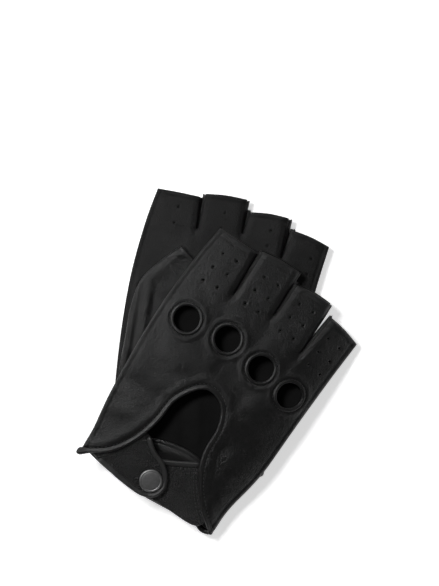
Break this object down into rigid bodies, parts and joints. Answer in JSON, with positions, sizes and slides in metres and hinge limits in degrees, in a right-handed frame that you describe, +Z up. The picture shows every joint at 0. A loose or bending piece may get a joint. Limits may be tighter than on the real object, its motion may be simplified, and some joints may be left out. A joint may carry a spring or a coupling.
{
  "type": "driving gloves",
  "caption": "Pair of fingerless leather driving gloves laid one across the other, with knuckle holes, an open wrist and a snap strap.",
  "frame": {"origin": "middle of the pair's underside, on the surface that it lies on", "axes": "+Z up; +Y towards the fingertips and +X to the right, as seen from above"},
  "size_m": [0.1702, 0.2152, 0.0334],
  "materials": {
    "smooth_leather": "satin",
    "grained_leather": "satin",
    "lining": "matte",
    "thread": "matte",
    "gunmetal": "satin",
    "nickel": "satin"
  },
  "bodies": {
    "left_glove": {"left_back_panel": "smooth_leather", "left_palm_panel": "smooth_leather", "left_fourchette_index": "smooth_leather", "left_fourchette_middle": "smooth_leather", "left_fourchette_ring": "smooth_leather", "left_knuckle_binding_index": "smooth_leather", "left_knuckle_binding_middle": "smooth_leather", "left_knuckle_binding_ring": "smooth_leather", "left_knuckle_binding_little": "smooth_leather", "left_keyhole_binding": "smooth_leather", "left_side_seam_thumb": "smooth_leather", "left_side_seam_little": "smooth_leather", "left_wrist_binding": "smooth_leather", "left_wrist_facing": "lining", "left_strap_anchor": "grained_leather", "left_under_tab": "grained_leather", "left_tab_piping": "smooth_leather", "left_snap_stud": "nickel", "left_snap_post": "nickel", "left_thumb_gusset": "smooth_leather"},
    "left_strap": {"left_strap": "grained_leather", "left_strap_lining": "lining", "left_strap_stitching": "thread", "left_snap_cap": "gunmetal", "left_snap_socket": "nickel"},
    "left_thumb": {"left_thumb_stub": "smooth_leather"},
    "right_glove": {"right_back_panel": "smooth_leather", "right_palm_panel": "smooth_leather", "right_fourchette_index": "smooth_leather", "right_fourchette_middle": "smooth_leather", "right_fourchette_ring": "smooth_leather", "right_knuckle_binding_index": "smooth_leather", "right_knuckle_binding_middle": "smooth_leather", "right_knuckle_binding_ring": "smooth_leather", "right_knuckle_binding_little": "smooth_leather", "right_keyhole_binding": "smooth_leather", "right_side_seam_thumb": "smooth_leather", "right_side_seam_little": "smooth_leather", "right_wrist_binding": "smooth_leather", "right_wrist_facing": "lining", "right_strap_anchor": "grained_leather", "right_under_tab": "grained_leather", "right_tab_piping": "smooth_leather", "right_snap_stud": "nickel", "right_snap_post": "nickel", "right_thumb_gusset": "smooth_leather"},
    "right_strap": {"right_strap": "grained_leather", "right_strap_lining": "lining", "right_strap_stitching": "thread", "right_snap_cap": "gunmetal", "right_snap_socket": "nickel"},
    "right_thumb": {"right_thumb_stub": "smooth_leather"}
  },
  "joints": [
    {"name": "right_glove_lift", "type": "slide", "parent": "left_glove", "child": "right_glove", "axis": [0, 0, 1], "range_m": [0, 0.12]},
    {"name": "left_strap_flex", "type": "hinge", "parent": "left_glove", "child": "left_strap", "pos_m": [-0.03219, -0.02822, 0.00285], "axis": [0.6796, 0.7336, 0], "range_deg": [0, 100]},
    {"name": "right_strap_flex", "type": "hinge", "parent": "right_glove", "child": "right_strap", "pos_m": [-0.04428, -0.04855, 0.02578], "axis": [-0.9048, -0.4234, -0.0468], "range_deg": [0, 100]},
    {"name": "left_thumb_swing", "type": "hinge", "parent": "left_glove", "child": "left_thumb", "pos_m": [-0.04507, 0.01313, 0.0109], "axis": [0, 0, 1], "range_deg": [0, 40]},
    {"name": "right_thumb_swing", "type": "hinge", "parent": "right_glove", "child": "right_thumb", "pos_m": [-0.04084, -0.00403, 0.02236], "axis": [0.1101, -0.0465, 0.9928], "range_deg": [0, 40]}
  ]
}
